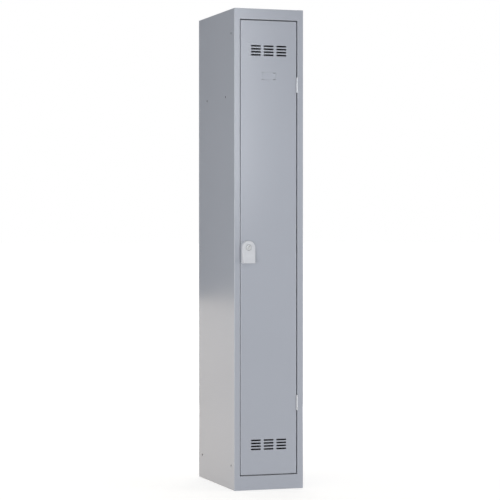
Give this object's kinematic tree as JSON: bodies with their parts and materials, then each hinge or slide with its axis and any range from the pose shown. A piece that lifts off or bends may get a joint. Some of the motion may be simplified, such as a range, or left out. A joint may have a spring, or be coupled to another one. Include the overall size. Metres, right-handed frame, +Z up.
{
  "type": "office locker",
  "caption": "Tall narrow sheet-steel locker with a right-hung vented door, cam lock in a moulded pull handle, hat shelf and hanging rail with sliding coat hooks.",
  "frame": {"origin": "on the floor, under the middle of the whole outline, handle included", "axes": "+Z up, +X to the right seen from the front, -Y out of the front"},
  "size_m": [0.3, 0.518, 1.98],
  "materials": {
    "grey_paint": "semi-gloss grey powder coat",
    "grey_plastic": "fine-textured light grey moulding",
    "zinc_plate": "zinc plated",
    "nickel_plate": "satin nickel plated",
    "dark_steel": "dark steel",
    "rubber": "matt black"
  },
  "bodies": {
    "carcass": {"left_side_panel": "grey_paint", "right_side_panel": "grey_paint", "back_panel": "grey_paint", "roof_panel": "grey_paint", "floor_panel": "grey_paint", "header_rail": "grey_paint", "plinth_rail": "grey_paint", "hat_shelf": "grey_paint", "shelf_rivet_left_front": "dark_steel", "shelf_rivet_left_rear": "dark_steel", "shelf_rivet_right_front": "dark_steel", "shelf_rivet_right_rear": "dark_steel", "hanging_rail": "zinc_plate", "rail_bracket_left": "zinc_plate", "rail_bracket_right": "zinc_plate", "hinge_upper_frame_leaf": "zinc_plate", "hinge_upper_pin": "zinc_plate", "hinge_lower_frame_leaf": "zinc_plate", "hinge_lower_pin": "zinc_plate", "door_buffer_upper": "rubber", "door_buffer_lower": "rubber"},
    "door": {"door_skin": "grey_paint", "door_stiffener": "grey_paint", "hinge_upper_door_leaf": "zinc_plate", "hinge_lower_door_leaf": "zinc_plate", "lock_handle": "grey_plastic", "handle_screw_left": "zinc_plate", "handle_screw_right": "zinc_plate", "lock_housing": "nickel_plate", "lock_nut": "zinc_plate"},
    "lock_core": {"lock_plug": "nickel_plate", "lock_cam": "zinc_plate", "cam_screw": "zinc_plate"},
    "left_hook": {"coat_hook_left": "zinc_plate"},
    "right_hook": {"coat_hook_right": "zinc_plate"}
  },
  "joints": [
    {"name": "door_hinge", "type": "hinge", "parent": "carcass", "child": "door", "pos_m": [0.1225, -0.2415, 0.0635], "axis": [0, 0, 1], "range_deg": [0, 170]},
    {"name": "lock_turn", "type": "hinge", "parent": "door", "child": "lock_core", "pos_m": [-0.0898, -0.2511, 0.999], "axis": [0, 1, 0], "range_deg": [0, 90]},
    {"name": "left_hook_slide", "type": "slide", "parent": "carcass", "child": "left_hook", "axis": [1, 0, 0], "range_m": [-0.08, 0.04]},
    {"name": "right_hook_slide", "type": "slide", "parent": "carcass", "child": "right_hook", "axis": [1, 0, 0], "range_m": [-0.04, 0.08]}
  ]
}
